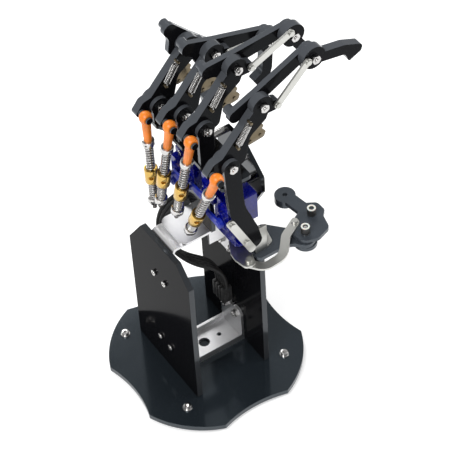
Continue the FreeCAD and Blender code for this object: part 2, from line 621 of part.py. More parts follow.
def brass_block(number):
    """The round block that slides on the rod between the springs; the horn's pin sits in its side."""
    ball, block, turn = rod_frame(number)
    length = size("block_length")
    outer = doc.addObject("Part::Cylinder", f"block_outer_{number}")
    outer.setExpression("Radius", "Sizes.block_radius")
    outer.setExpression("Height", "Sizes.block_length")
    bore = doc.addObject("Part::Cylinder", f"block_bore_{number}")
    bore.setExpression("Radius", "Sizes.rod_radius + 0.1")
    bore.setExpression("Height", "Sizes.block_length")
    socket = doc.addObject("Part::Cylinder", f"block_socket_{number}")
    socket.setExpression("Radius", "Sizes.pin_socket_radius")
    socket.setExpression("Height", "Sizes.pin_socket_depth + 1")
    side = turn.inverted().multVec(Vec(1, 0, 0))
    depth = size("block_radius") - size("pin_socket_depth")
    turned_side = FreeCAD.Rotation(Vec(0, 0, 1), side)
    socket.Placement = FreeCAD.Placement(Vec(0, 0, length / 2) + side * depth, turned_side)
    tools = doc.addObject("Part::MultiFuse", f"block_tools_{number}")
    tools.Shapes = [bore, socket]
    block_node = doc.addObject("Part::Cut", f"brass_block_{number}")
    block_node.Base = outer
    block_node.Tool = tools
    block_node.Label = f"brass_block_{number}"
    start = block - turn.multVec(Vec(0, 0, length / 2))
    block_node.Placement = FreeCAD.Placement(start, turn)
    return block_node


horn_x = size("block_x") + size("block_radius") + size("horn_gap")
servo_standoff = size("hub_height") + size("layer_gap") + size("servo_boss_height")
servo_face_x = horn_x + size("horn_thickness") + servo_standoff


def shaft_point(number):
    ball, block, turn = rod_frame(number)
    return Vec(horn_x, block.y - size("horn_length"), block.z)


def servo_horn(number):
    """A lever arm on the servo shaft whose pin reaches into the brass block."""
    horn = Plate(f"servo_horn_{number}", "YZ_Plane")
    length = size("horn_length")
    arm = [(-3.6, -3.4, 3.2), (length + 2.2, -2.4, 2.2), (length + 2.2, 2.4, 2.2), (-3.6, 3.4, 3.2)]
    horn.outline(arm, "0", "horn_thickness")
    horn.disc(0, 0, "hub_outer_radius", "horn_thickness", "hub_height")
    horn.disc(0, 0, "2", "-0.5", "0.5")
    horn.disc("horn_length", 0, "horn_pin_radius", "-1 * horn_gap - 0.5", "horn_gap + 0.5")
    return horn.place(shaft_point(number))


for number in (1, 2, 3, 4):
    nodes.append(ball_link(number))
    nodes.append(push_rod(number))
    nodes.append(brass_block(number))
    nodes.append(servo_horn(number))


# Servos: a case with mounting tabs, a round boss and a stub shaft
def servo_shape():
    """A servo with its shaft along -X at the origin; the case runs up from the shaft."""
    length, width_s, height_s = size("servo_length"), size("servo_width"), size("servo_height")
    start = -size("servo_shaft_place")
    case = Part.makeBox(height_s, width_s, length, Vec(0, -width_s / 2, start))
    corner_edges = [edge for edge in case.Edges if abs(edge.tangentAt(edge.FirstParameter).x) > 0.9]
    case = case.makeFillet(0.8, corner_edges)
    tab = Part.makeBox(size("servo_tab_thickness"), width_s, length + 2 * size("servo_tab"),
                       Vec(size("servo_tab_drop"), -width_s / 2, start - size("servo_tab")))
    rise = size("servo_boss_height")
    boss = Part.makeCylinder(size("servo_boss_radius"), rise, Vec(-rise, 0, 0), Vec(1, 0, 0))
    gear_at = Vec(-rise, 0, size("servo_gear_place"))
    gear_cover = Part.makeCylinder(size("servo_gear_radius"), rise, gear_at, Vec(1, 0, 0))
    return case.fuse([tab, boss, gear_cover]).removeSplitter()


finger_servos = []
for number in (1, 2, 3, 4):
    servo = servo_shape()
    point = shaft_point(number)
    servo.Placement = FreeCAD.Placement(Vec(servo_face_x, point.y, point.z), FreeCAD.Rotation())
    finger_servos.append(servo)
nodes.append(solid_node("finger_servos", Part.makeCompound(finger_servos)))

# Palm: a panel that holds the servos, a deck under the knuckles, cheeks and the knuckle bolts
panel_x = servo_face_x + size("servo_tab_drop") + size("servo_tab_thickness")
deck_z = size("deck_z")
near_cheek_y = finger_y(4) - size("plate_thickness") / 2 - size("cheek_gap") - size("cheek_thickness")
far_cheek_y = finger_y(1) + size("plate_thickness") / 2 + size("cheek_gap") + size("cheek_thickness")
thumb_servo_foot = size("thumb_z") + 2 * size("thumb_plate") + 2 * size("thumb_gap") + size("link_thickness") \
    + size("crank_thickness") + size("thumb_gap") + servo_standoff
thumb_servo_top = thumb_servo_foot + size("servo_height")


def servo_panel():
    left, right = size("panel_left"), near_cheek_y + size("cheek_thickness") + 0.3
    notch_y = size("crank_y") - size("servo_shaft_place") + size("servo_length") + size("servo_tab") + 0.4
    foot_z = size("panel_foot_z")
    outline = [(right, deck_z, 1), (left, deck_z, 1), (left, foot_z + 20, 3), (8, foot_z + 7, 3), (8, foot_z, 1),
               (notch_y, foot_z, 1), (notch_y, thumb_servo_top + 0.4, 1), (right, thumb_servo_top + 0.4, 1)]
    plate = Plate("servo_panel", "YZ_Plane")
    sketch = plate.sketch("0")
    for piece in rounded(outline):
        sketch.addGeometry(piece, False)
    plate.pad(sketch, "panel_thickness")
    for number in (1, 2, 3, 4):
        point = shaft_point(number)
        half = size("servo_width") / 2 + 0.1
        low = point.z - size("servo_shaft_place") - 0.1
        high = low + size("servo_length") + 0.2
        window = [(point.y - half, low, 0.6), (point.y + half, low, 0.6), (point.y + half, high, 0.6),
                  (point.y - half, high, 0.6)]
        cut_sketch = plate.sketch("0")
        for piece in rounded(window):
            cut_sketch.addGeometry(piece, False)
        pocket = plate.body.newObject("PartDesign::Pocket", f"servo_window_{number}")
        pocket.Profile = cut_sketch
        pocket.Type = 1
        pocket.Midplane = True
        doc.recompute()
    return plate.place(Vec(panel_x, 0, 0))


nodes.append(servo_panel())

deck = Plate("palm_deck", "XY_Plane")
front, back = size("deck_front"), -size("deck_back")
deck_near = near_cheek_y + size("cheek_thickness") + 0.3
little_back = back - size("little_setback") + 0.5
deck_corners = [(back, deck_near, 2), (front, deck_near, 2), (front, far_cheek_y + 1, 6), (little_back, far_cheek_y + 1, 2),
                (little_back, finger_y(1) - 8.5, 1), (back, finger_y(1) - 12, 1)]
deck.outline(deck_corners, "0", "deck_thickness")
nodes.append(deck.place(Vec(0, 0, deck_z)))
deck_top = deck_z + size("deck_thickness")

cheeks = []
for number in (1, 2, 3, 4):
    root = knuckle(number)
    drop = root.z - deck_top
    half = size("cheek_half_width")
    for side in (-1, 1):
        if number == 4 and side == -1:
            continue
        gap = size("plate_thickness") / 2 + size("cheek_gap")
        start = root.y + (gap if side == 1 else -gap - size("cheek_thickness"))
        post = Part.makeBox(2 * half, size("cheek_thickness"), drop, Vec(root.x - half, start, deck_top))
        crown_at = Vec(root.x, start, root.z)
        crown = Part.makeCylinder(size("cheek_radius"), size("cheek_thickness"), crown_at, Vec(0, 1, 0))
        bore_radius = size("pivot_radius") + size("running_clearance")
        bore = Part.makeCylinder(bore_radius, size("cheek_thickness"), crown_at, Vec(0, 1, 0))
        cheeks.append(post.fuse(crown).cut(bore).removeSplitter())
nodes.append(solid_node("knuckle_cheeks", Part.makeCompound(cheeks)))

bolts = []
for number in (1, 2, 3, 4):
    root = knuckle(number)
    reach = size("plate_thickness") / 2 + size("cheek_gap") + size("cheek_thickness")
    shank = Part.makeCylinder(size("pivot_radius"), 2 * reach, root - Vec(0, reach, 0), Vec(0, 1, 0))
    nut = Part.makeCylinder(size("nut_radius"), size("nut_height"), root - Vec(0, reach, 0), Vec(0, -1, 0))
    head = Part.makeCylinder(size("nut_radius"), 1.8, root + Vec(0, reach, 0), Vec(0, 1, 0))
    bolts.append(shank.fuse([nut, head]).removeSplitter())
nodes.append(solid_node("knuckle_bolts", Part.makeCompound(bolts)))

# Side arm: the long plate that carries the index knuckle and reaches down to the thumb
arm = Plate("side_arm")
index_root = knuckle(4)
arm_foot_x, arm_foot_z = size("arm_foot_x"), thumb_servo_foot + 0.5
arm_half = size("arm_half_width")
arm_path = [Vec(index_root.x, index_root.z, 0), Vec(index_root.x + 2.2, index_root.z - 40, 0),
            Vec(arm_foot_x - 2.5, arm_foot_z + 17, 0), Vec(arm_foot_x, arm_foot_z + arm_half, 0)]
arm_outline = ribbon(arm_path, arm_half, [0, 30, 30, 0])
arm_level = f"{-near_cheek_y - size('cheek_thickness')}"
arm.outline(arm_outline, arm_level, "cheek_thickness")
arm.hole(index_root.x, index_root.z, pin_hole)
nodes.append(arm.place(Vec(0, 0, 0)))

# Palm cover: the plate in front of the servos, held off the panel by four spacers
cover = Plate("palm_cover", "YZ_Plane")
near_y, far_y = size("cover_near_y"), size("cover_far_y")
foot_margin, top_margin = size("cover_foot_margin"), size("cover_top_margin")
cover_corners = [
    (near_y + foot_margin, size("cover_foot_z"), 2), (far_y - foot_margin, size("cover_foot_z"), 2),
    (far_y, size("cover_low_shoulder_z"), 3), (far_y, size("cover_high_shoulder_z"), 3),
    (far_y - top_margin / 2, size("cover_top_z"), 3), (near_y + top_margin, size("cover_top_z"), 3),
    (near_y, size("cover_high_shoulder_z"), 3), (near_y, size("cover_low_shoulder_z"), 3),
]
cover.outline(cover_corners, "0", "cover_thickness")
nodes.append(cover.place(Vec(size("cover_x"), 0, 0)))

spacers = []
spacer_start = panel_x + size("panel_thickness")
for y, z in ((-15, 190), (9.5, 194.5), (-12, 143.5), (4, 143.5)):
    spacer_at = Vec(spacer_start, y, z)
    spacers.append(Part.makeCylinder(size("spacer_radius"), size("cover_x") - spacer_start, spacer_at, Vec(1, 0, 0)))
nodes.append(solid_node("cover_spacers", Part.makeCompound(spacers)))

# Thumb: a fixed plate, a hinged fingertip of two plates, a bent steel link and the servo's crank
level_low = size("thumb_z")
plate_t, gap_t = size("thumb_plate"), size("thumb_gap")
level_high = level_low + plate_t + gap_t
link_z = level_high + plate_t + gap_t
crank_z = link_z + size("link_thickness") + gap_t
pivot = Vec(size("thumb_pivot_x"), size("thumb_pivot_y"), 0)

thumb_base = Plate("thumb_base", "XY_Plane")
base_corners = [(15, -54.4, 3), (15, -44, 3), (25, -29.4, 4), (34, -29.4, 6), (45, -42, 6),
                (pivot.x + 6, pivot.y + 8.4, 6), (pivot.x + 8.6, pivot.y - 4, 7), (pivot.x - 3, pivot.y - 9, 7),
                (40, -55.4, 8), (28, -54.4, 4)]
thumb_base.outline(base_corners, "0", "thumb_plate", [("thumb_pivot_x", "thumb_pivot_y", pin_hole)])
nodes.append(thumb_base.place(Vec(0, 0, level_low)))

bolt_low = level_low - gap_t - plate_t - 2.4
post_top = level_high + plate_t + size("thumb_post_height")
pivot_bolt = Part.makeCylinder(size("pivot_radius"), post_top - bolt_low, pivot + Vec(0, 0, bolt_low))
pivot_head = Part.makeCylinder(size("nut_radius"), 2.1, pivot + Vec(0, 0, bolt_low))
pivot_cap = Part.makeCylinder(size("thumb_post_radius"), size("thumb_post_height") - gap_t,
                              pivot + Vec(0, 0, level_high + plate_t + gap_t))
pivot_screw = pivot_bolt.fuse([pivot_head, pivot_cap]).removeSplitter()

# the L bracket that carries the thumb plate on the inner face of the side arm, and the brace on its outer face
arm_face = near_cheek_y
bracket_t = size("bracket_sheet_thin")
arm_inner = arm_face + size("cheek_thickness")
leg_x = arm_foot_x + 2.6
base_face = level_low + plate_t
leg_width = size("leg_width")
leg = Part.makeBox(leg_width, bracket_t, size("leg_height"), Vec(leg_x, arm_inner, base_face))
foot_outline = [(leg_x, arm_inner, 0.3), (leg_x + leg_width, arm_inner, 0.3), (30.6, arm_inner + 2, 3), (33.4, -35, 3),
                (31, -30.6, 2), (26, -31.5, 3)]
foot_wire = Part.Wire([Part.Edge(piece) for piece in rounded(foot_outline)])
leg_foot_plate = Part.Face(foot_wire).extrude(Vec(0, 0, bracket_t))
leg_foot_plate.translate(Vec(0, 0, base_face))
screw_radius, screw_height = size("nut_radius") - 0.2, 3.0
foot_screw = Part.makeCylinder(screw_radius, screw_height, Vec(28.6, -39, base_face + bracket_t))
leg_screw_at = Vec(leg_x + leg_width / 2, arm_inner + bracket_t, base_face + size("leg_height") - 5)
leg_screw = Part.makeCylinder(screw_radius, screw_height, leg_screw_at, Vec(0, 1, 0))
brace_top, brace_half = Vec(-3.3, arm_face, 181.1), size("brace_half_width")
brace_ends = (-4.4, size("brace_pitch") + 12.3)
brace_outline = [(brace_ends[0], -brace_half, brace_half - 0.1), (brace_ends[1], -brace_half, brace_half - 0.1),
                 (brace_ends[1], brace_half, brace_half - 0.1), (brace_ends[0], brace_half, brace_half - 0.1)]
brace_wire = Part.Wire([Part.Edge(piece) for piece in rounded(brace_outline)])
brace = Part.Face(brace_wire).extrude(Vec(0, 0, bracket_t))
for u in (0, size("brace_pitch")):
    brace = brace.fuse(Part.makeCylinder(2.2, 1.6, Vec(u, 0, bracket_t)))
stood_up = about_y(size("brace_angle")).multiply(FreeCAD.Rotation(Vec(1, 0, 0), 90))
brace.Placement = FreeCAD.Placement(brace_top, stood_up)
bracket_angle = leg.fuse([leg_foot_plate, foot_screw, leg_screw]).removeSplitter()
nodes.append(solid_node("thumb_bracket", Part.makeCompound([bracket_angle, brace, pivot_screw])))

tip = Vec(size("thumb_tip_x"), size("thumb_tip_y"), 0)
link_end = Vec(size("thumb_link_x"), size("thumb_link_y"), 0)
post = Vec(size("thumb_post_x"), size("thumb_post_y"), 0)
cluster = [(pivot.x - 7.6, pivot.y + 4.4, 5), (pivot.x - 5.4, pivot.y - 5.6, 6), (pivot.x + 5, pivot.y - 8.4, 6),
           (post.x + 3, post.y - 16, 4), (post.x + 5.8, post.y - 5, 2.6), (post.x + 9.6, post.y - 1.6, 3.2),
           (post.x + 9.4, post.y + 6.8, 3.6), (post.x + 2, post.y + 11.4, 3), (post.x - 6.2, post.y + 6.6, 3),
           (link_end.x + 1.4, link_end.y + 3.8, 3), (link_end.x - 4.4, link_end.y + 1.6, 3)]
thumb_tip = Plate("thumb_tip", "XY_Plane")
upper = "thumb_plate + thumb_gap"
thumb_tip.outline(cluster, upper, "thumb_plate")
lower = "-1 * thumb_plate - thumb_gap"
lower_web = [(pivot.x - 6.4, pivot.y + 4.4, 3), (pivot.x + 4.4, pivot.y - 6.4, 3),
             (post.x + 4.4, post.y - 2.4, 3), (post.x - 2.4, post.y + 4.4, 3)]
thumb_tip.outline(lower_web, lower, "thumb_plate")
thumb_tip.disc("thumb_pivot_x", "thumb_pivot_y", "thumb_disc_radius", lower, "thumb_plate")
thumb_tip.disc("thumb_post_x", "thumb_post_y", "thumb_post_radius + 2", lower, "thumb_plate")
way = (tip - post).normalize()
across = Vec(-way.y, way.x, 0) * 4.8
arm_start, arm_end = post - way * 1, tip
arm_sides = [arm_start + across, arm_end + across, arm_end - across, arm_start - across]
finger_arm = [(place.x, place.y, 1) for place in arm_sides]
thumb_tip.outline(finger_arm, upper, "thumb_plate")
thumb_tip.disc("thumb_tip_x", "thumb_tip_y", "thumb_tip_radius", upper, "thumb_plate")
thumb_tip.disc("thumb_tip_x", "thumb_tip_y", "thumb_tip_radius", "thumb_gap", "thumb_plate")
between = "2 * thumb_plate + thumb_gap"
thumb_tip.disc("thumb_post_x", "thumb_post_y", "thumb_post_radius", "-1 * thumb_plate", between)
thumb_tip.disc("thumb_post_x", "thumb_post_y", "thumb_post_radius", "2 * thumb_plate", "thumb_post_height")
thumb_tip.hole("thumb_pivot_x", "thumb_pivot_y", "pivot_radius + running_clearance")
thumb_tip.hole("thumb_tip_x", "thumb_tip_y", "screw_hole_radius")
nodes.append(thumb_tip.place(Vec(0, 0, level_low)))

crank_pin = Vec(size("crank_pin_x"), size("crank_pin_y"), 0)
crank_axis = Vec(size("crank_x"), size("crank_y"), 0)
thumb_link = Plate("thumb_link", "XY_Plane")
link_path = [crank_pin, Vec(12, -65.8, 0), Vec(27.5, -64.6, 0), Vec(38.5, -51.5, 0), link_end]
thumb_link.outline(ribbon(link_path, size("thumb_link_width") / 2, [0, 8, 13, 8, 0]), "0", "link_thickness")
thumb_link.hole("crank_pin_x", "crank_pin_y", "rivet_radius + running_clearance")
thumb_link.disc("thumb_link_x", "thumb_link_y", "rivet_radius * 1.9", "link_thickness", "rivet_radius * 1.6")
nodes.append(thumb_link.place(Vec(0, 0, link_z)))

crank = Plate("thumb_crank", "XY_Plane")
reach = (crank_pin - crank_axis).Length
lean = degrees(atan2(crank_pin.y - crank_axis.y, crank_pin.x - crank_axis.x))
crank_corners = [(-5.8, -5.4, 5), (8, -8.6, 3), (reach - 4.6, -8, 3), (reach + 4.4, -3.8, 3),
                 (reach + 4.4, 3.6, 3.2), (4, 4.6, 4), (-5.8, 5.4, 5)]
crank.outline(crank_corners, "0", "crank_thickness")
crank.disc(0, 0, "hub_outer_radius", "crank_thickness", "hub_height")
crank.disc(reach, 0, "rivet_radius", "-1 * link_thickness - thumb_gap", "link_thickness + thumb_gap")
crank.disc(reach, 0, "rivet_radius * 1.9", "crank_thickness", "rivet_radius * 1.6")
nodes.append(crank.place(crank_axis + Vec(0, 0, crank_z), FreeCAD.Rotation(Vec(0, 0, 1), lean)))

servo = servo_shape()
shaft_down = FreeCAD.Rotation(Vec(0, 0, 1), 90).multiply(FreeCAD.Rotation(0, -90, 180))
servo.Placement = FreeCAD.Placement(crank_axis + Vec(0, 0, thumb_servo_foot), shaft_down)
nodes.append(solid_node("thumb_servo", servo))


# Servo lead harness: four sleeved leads from the servos, over the mounting plate's edge and down
def cord(route, radius):
    """A tube along straight runs joined by tangent arcs; each arc is as large as its runs allow."""
    edges, start = [], route[0]
    for place in range(1, len(route) - 1):
        here = route[place]
        back, ahead = route[place - 1] - here, route[place + 1] - here
        half_turn = (180 - degrees(back.getAngle(ahead))) / 2
        bend = 0.45 * min(back.Length, ahead.Length) / tan(radians(half_turn))
        reach = bend * tan(radians(half_turn))
        first, last = here + back.normalize() * reach, here + ahead.normalize() * reach
        inward = (back + ahead).normalize()
        top = here + inward * (bend / cos(radians(half_turn)) - bend)
        edges.append(Part.LineSegment(start, first).toShape())
        edges.append(Part.Arc(first, top, last).toShape())
        start = last
    edges.append(Part.LineSegment(start, route[-1]).toShape())
    ring = Part.Wire([Part.Circle(route[0], route[1] - route[0], radius).toShape()])
    return Part.Wire(edges).makePipeShell([ring], True, False)


case_foot = shaft_point(1).z - size("servo_shaft_place")
harness_route = [Vec(14, 12, case_foot), Vec(14, 12, 150), Vec(4, 23, 136), Vec(-8, 23, 131), Vec(-13, 22.5, 118),
                 Vec(-12, 20, 104), Vec(-2, 10, 91), Vec(12, 2, 84), Vec(18, 0, 72), Vec(18, 0, 62)]
leads, plugs = [], []
plug_length = 14
for place in range(4):
    offset = Vec(0, (place - 1.5) * 2 * (size("harness_radius") + 0.05), 0)
    leads.append(cord([point + offset for point in harness_route], size("harness_radius")))
    corner = harness_route[-1] + offset - Vec(3.8, 1.3, plug_length)
    plugs.append(Part.makeBox(7.6, 2.6, plug_length, corner))
nodes.append(solid_node("lead_harness", Part.makeCompound(leads)))
nodes.append(solid_node("lead_connectors", Part.makeCompound(plugs)))

doc.recompute()
for item in doc.Objects:
    if "Invalid" in item.State or "Error" in item.State:
        raise RuntimeError(f"{item.Label} did not build: {item.State}")
for node in nodes:
    if node.Shape.isNull() or not node.Shape.isValid():
        raise RuntimeError(f"{node.Label} has no valid shape")
for node in nodes:
    node.Shape.exportStep(f"parts/{node.Label}.step")
print(len(nodes), "nodes written")
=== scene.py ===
import json
from math import cos, pi, radians, sin

import bmesh
import bpy
from mathutils import Matrix, Vector

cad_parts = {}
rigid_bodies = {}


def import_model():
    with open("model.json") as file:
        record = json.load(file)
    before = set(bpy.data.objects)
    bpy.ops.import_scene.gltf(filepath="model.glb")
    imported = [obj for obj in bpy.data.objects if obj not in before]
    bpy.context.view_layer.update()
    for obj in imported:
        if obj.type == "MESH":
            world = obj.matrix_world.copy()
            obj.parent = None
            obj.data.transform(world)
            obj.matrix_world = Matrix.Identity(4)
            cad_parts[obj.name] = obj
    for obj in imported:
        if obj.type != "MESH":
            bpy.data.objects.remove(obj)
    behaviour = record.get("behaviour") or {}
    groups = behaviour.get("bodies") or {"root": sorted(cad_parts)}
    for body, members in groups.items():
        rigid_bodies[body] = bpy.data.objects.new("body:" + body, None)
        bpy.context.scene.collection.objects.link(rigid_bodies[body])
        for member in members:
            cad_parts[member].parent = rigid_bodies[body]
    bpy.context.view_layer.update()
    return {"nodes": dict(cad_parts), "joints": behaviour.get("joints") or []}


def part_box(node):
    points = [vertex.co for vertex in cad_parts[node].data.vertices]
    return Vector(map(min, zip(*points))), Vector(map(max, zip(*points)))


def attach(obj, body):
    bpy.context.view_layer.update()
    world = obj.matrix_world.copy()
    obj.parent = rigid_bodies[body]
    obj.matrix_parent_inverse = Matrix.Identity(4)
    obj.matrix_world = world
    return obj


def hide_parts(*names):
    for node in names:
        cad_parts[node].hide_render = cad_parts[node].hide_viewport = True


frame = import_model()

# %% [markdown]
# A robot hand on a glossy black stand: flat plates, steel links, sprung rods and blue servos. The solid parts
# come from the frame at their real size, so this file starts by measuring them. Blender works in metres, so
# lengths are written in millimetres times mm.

scene = bpy.context.scene
mm = 0.001
nodes = frame["nodes"]
pivots = {joint["name"]: Vector(joint["pos_m"]) for joint in frame["joints"]}
fingers = {1: "little", 2: "ring", 3: "middle", 4: "index"}

# %% [markdown]
# The photograph looks down on the stand's left corner through a long lens. The camera is aimed at the middle of
# the object by three directions of its own: to the right, up, and back towards the lens.

# %% The camera
azimuth, elevation, roll = radians(-30.9), radians(47.3), radians(-3.85)
target = Vector((23.6, 0, 117.5)) * mm
camera_distance = 1382.5 * mm

back = Vector((sin(azimuth) * cos(elevation), -cos(azimuth) * cos(elevation), sin(elevation)))
level = Vector((cos(azimuth), sin(azimuth), 0))
upward = back.cross(level)
right_way = level * cos(roll) + upward * sin(roll)
up_way = upward * cos(roll) - level * sin(roll)
camera = bpy.data.objects.new("camera", bpy.data.cameras.new("camera"))
scene.collection.objects.link(camera)
camera.data.lens = 164
camera.data.clip_end = 20
turn = Matrix((right_way, up_way, back)).transposed().to_4x4()
camera.matrix_world = Matrix.Translation(target + back * camera_distance) @ turn
scene.camera = camera
scene.view_settings.view_transform = "Standard"
print("camera at", [round(value, 3) for value in camera.matrix_world.translation])

# %% [markdown]
# What the frame keeps plain is modelled further down, as by hand. These helpers hold the steps that every piece
# needs: start with nothing selected, apply a modifier, move a finished mesh to its place, and give it a body
# and a finish.


# %% Helpers for new pieces
def nothing_selected():
    """Leaves edit mode, if it is on, and selects nothing."""
    if bpy.context.object and bpy.context.object.mode != "OBJECT":
        bpy.ops.object.mode_set(mode="OBJECT")
    bpy.ops.object.select_all(action="DESELECT")


def only(obj):
    """Selects one object and makes it the active one."""
    nothing_selected()
    obj.select_set(True)
    bpy.context.view_layer.objects.active = obj
    return obj


def apply(obj, kind, **settings):
    """Adds a modifier with these settings and applies it at once."""
    only(obj)
    modifier = obj.modifiers.new(kind.lower(), kind)
    for key, value in settings.items():
        setattr(modifier, key, value)
    bpy.ops.object.modifier_apply(modifier=modifier.name)
    return obj


def at_rest(obj):
    """Puts an object's place, turn and scale into its mesh."""
    only(obj)
    bpy.ops.object.transform_apply(location=True, rotation=True, scale=True)
    return obj


def cylinder(radius, depth, place=(0, 0, 0), sides=32):
    """A round bar whose lower end is at place."""
    nothing_selected()
    middle = (place[0], place[1], place[2] + depth / 2)
    bpy.ops.mesh.primitive_cylinder_add(vertices=sides, radius=radius, depth=depth, location=middle)
    return at_rest(bpy.context.active_object)


def cut(obj, tool):
    """Takes the tool's shape out of the object and deletes the tool."""
    apply(obj, "BOOLEAN", operation="DIFFERENCE", object=tool, solver="EXACT")
    bpy.data.objects.remove(tool)
    return obj


def joined(first, *others):
    """One object from several."""
    only(first)
    for other in others:
        other.select_set(True)
    bpy.ops.object.join()
    return first


def copied(obj, matrix, name):
    """A copy with its own mesh, moved by a matrix."""
    other = obj.copy()
    other.data = obj.data.copy()
    other.name = name
    other.data.transform(matrix)
    scene.collection.objects.link(other)
    return other


def finished(obj, name, body, material, slot_name, *replaced):
    """Names a piece, smooths it, gives it its finish and lets it ride on its body."""
    obj.name = name
    only(obj)
    bpy.ops.object.shade_smooth_by_angle(angle=radians(35))
    obj.data.materials.clear()
    obj.data.materials.append(material)
    if replaced:
        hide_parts(*replaced)
    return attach(obj, body)


def facing(place, way):
    """The matrix that stands a piece made along +Z at a place, looking along way."""
    return Matrix.Translation(place) @ Vector(way).to_track_quat("Z", "Y").to_matrix().to_4x4()


# %% [markdown]
# The floor is plain and white, and a pale world surrounds the object. White is given only to what the camera
# and the reflections see, so the background is clean while the lamps stay at a plain level.


# %% Small helpers for node trees
def new_material(name):
    """A material, its node tree, its shader and a function that adds a node.

    A socket is named by its label, with _ for a space, or by i and its number. It is given a value or a link.
    """
    material = bpy.data.materials.new(name)
    material.use_nodes = True
    tree = material.node_tree
    shader = tree.nodes["Principled BSDF"]

    def add(kind, settings=None, **sockets):
        item = tree.nodes.new(f"ShaderNode{kind}")
        for key, value in (settings or {}).items():
            setattr(item, key, value)
        for key, value in sockets.items():
            place = int(key[1:]) if key[1:].isdigit() else key.replace("_", " ")
            socket = item.inputs[place]
            if isinstance(value, bpy.types.NodeSocket):
                tree.links.new(value, socket)
            else:
                socket.default_value = value
        return item

    return material, tree, shader, add


def seen_ray(add):
    """One where the camera, a reflection or a view through glass sees the surface, else nothing."""
    ray = add("LightPath").outputs
    first = add("Math", {"operation": "MAXIMUM"}, i0=ray["Is Camera Ray"], i1=ray["Is Glossy Ray"])
    return add("Math", {"operation": "MAXIMUM"}, i0=first.outputs[0], i1=ray["Is Transmission Ray"])


# %% The floor, the world and the lamps
surround_level = 0.42

bpy.ops.object.select_all(action="DESELECT")
bpy.ops.mesh.primitive_plane_add(size=9, location=(0, 0, 0))
floor = bpy.context.active_object
floor.name = "floor"
white_floor, tree, shader, add = new_material("white_floor")
shader.inputs["Base Color"].default_value = (0.86, 0.86, 0.86, 1)
shader.inputs["Roughness"].default_value = 0.9
shader.inputs["Specular IOR Level"].default_value = 0.0
shader.inputs["Emission Color"].default_value = (1, 1, 1, 1)
glow = add("Math", {"operation": "MULTIPLY"}, i0=seen_ray(add).outputs[0], i1=surround_level)
tree.links.new(glow.outputs[0], shader.inputs["Emission Strength"])
floor.data.materials.append(white_floor)

world = bpy.data.worlds.new("studio")
scene.world = world
world.use_nodes = True
world_tree = world.node_tree
background = world_tree.nodes["Background"]
background.inputs["Color"].default_value = (1, 1, 1, 1)
path = world_tree.nodes.new("ShaderNodeLightPath")
seen = world_tree.nodes.new("ShaderNodeMath")
seen.operation = "MAXIMUM"
world_tree.links.new(path.outputs["Is Camera Ray"], seen.inputs[0])
world_tree.links.new(path.outputs["Is Transmission Ray"], seen.inputs[1])
strength = world_tree.nodes.new("ShaderNodeMapRange")
strength.inputs["To Min"].default_value = surround_level
strength.inputs["To Max"].default_value = 1.0
world_tree.links.new(seen.outputs[0], strength.inputs["Value"])
world_tree.links.new(strength.outputs[0], background.inputs["Strength"])


def lamp(name, place, size, power, aim=(0.01, 0, 0.13)):
    """A square soft lamp that shines at the hand."""
    light = bpy.data.lights.new(name, "AREA")
    light.size = size
    light.energy = power
    obj = bpy.data.objects.new(name, light)
    scene.collection.objects.link(obj)
    obj.location = place
    obj.rotation_euler = (Vector(aim) - Vector(place)).to_track_quat("-Z", "Y").to_euler()
    return obj


lamp("key_lamp", (-0.9, -0.5, 1.5), 0.7, 18)
lamp("fill_lamp", (1.3, -0.6, 0.9), 0.9, 9)
lamp("rim_lamp", (0.3, 1.4, 1.0), 0.8, 10)

# %% [markdown]
# Each finish is a small node tree. The black sheet is nearly mirror smooth, with faint wiping marks and dust in
# its roughness. Its cut edges are duller and lighter than its faces, and the Bevel node rounds the look of every
# edge, so that it catches a thin line of light.


# %% Finishes: black acrylic sheet
def object_place(add, scale=(1, 1, 1)):
    """Object coordinates in metres, stretched by scale."""
    source = add("TexCoord")
    return add("Mapping", Vector=source.outputs["Object"], Scale=scale).outputs[0]


def noise(add, place, scale, detail=3.0, roughness=0.5):
    """Noise between 0 and 1 at this place."""
    return add("TexNoise", Vector=place, Scale=scale, Detail=detail, Roughness=roughness).outputs["Fac"]


def spread(add, value, low, high, start=0.0, end=1.0):
    """Maps a value between start and end to low and high."""
    return add("MapRange", Value=value, From_Min=start, From_Max=end, To_Min=low, To_Max=high).outputs[0]


def soft_edge(add, radius):
    """A surface direction that is rounded at the edges."""
    return add("Bevel", {"samples": 6}, Radius=radius).outputs[0]


